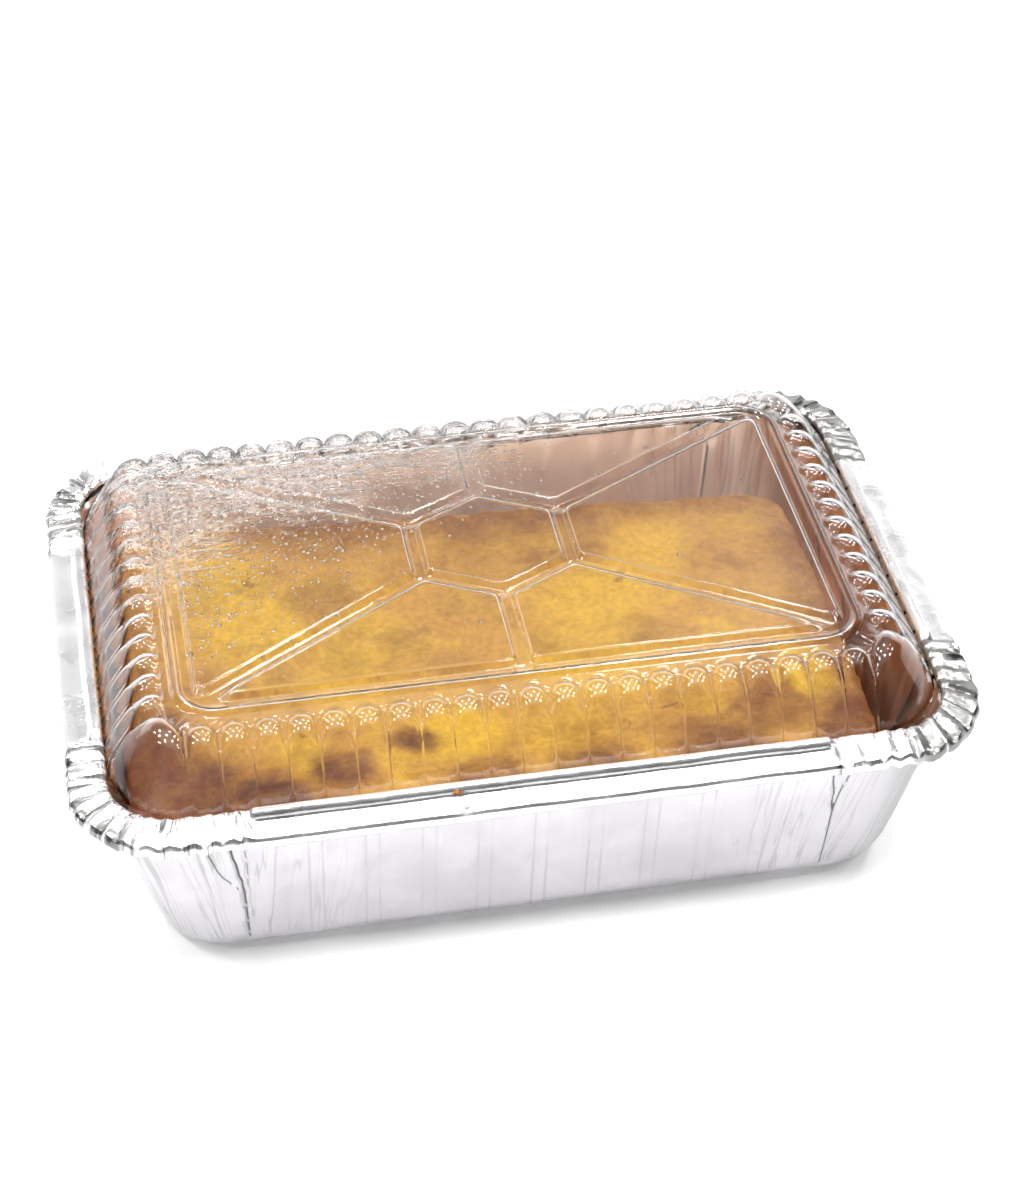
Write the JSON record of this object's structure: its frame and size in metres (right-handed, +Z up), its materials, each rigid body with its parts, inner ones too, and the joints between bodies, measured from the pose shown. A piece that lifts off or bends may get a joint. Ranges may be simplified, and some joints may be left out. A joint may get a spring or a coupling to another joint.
{
  "type": "sweet corn cake",
  "caption": "Golden corn cake in an oblong foil tray with gathered corners, shut by a clear ribbed lid that the tray's folded rim holds down.",
  "frame": {"origin": "middle of the tray's underside", "axes": "+X along the tray's long sides, +Y along its short sides, +Z up out of the tray"},
  "size_m": [0.215, 0.1554, 0.0677],
  "materials": {
    "foil": "bright crinkled foil",
    "clear_lid": "clear, glossy, misted underneath",
    "crust": "moist golden crumb with browned patches"
  },
  "bodies": {
    "root": {"tray": "foil", "lid": "clear_lid", "cake": "crust"}
  },
  "joints": []
}
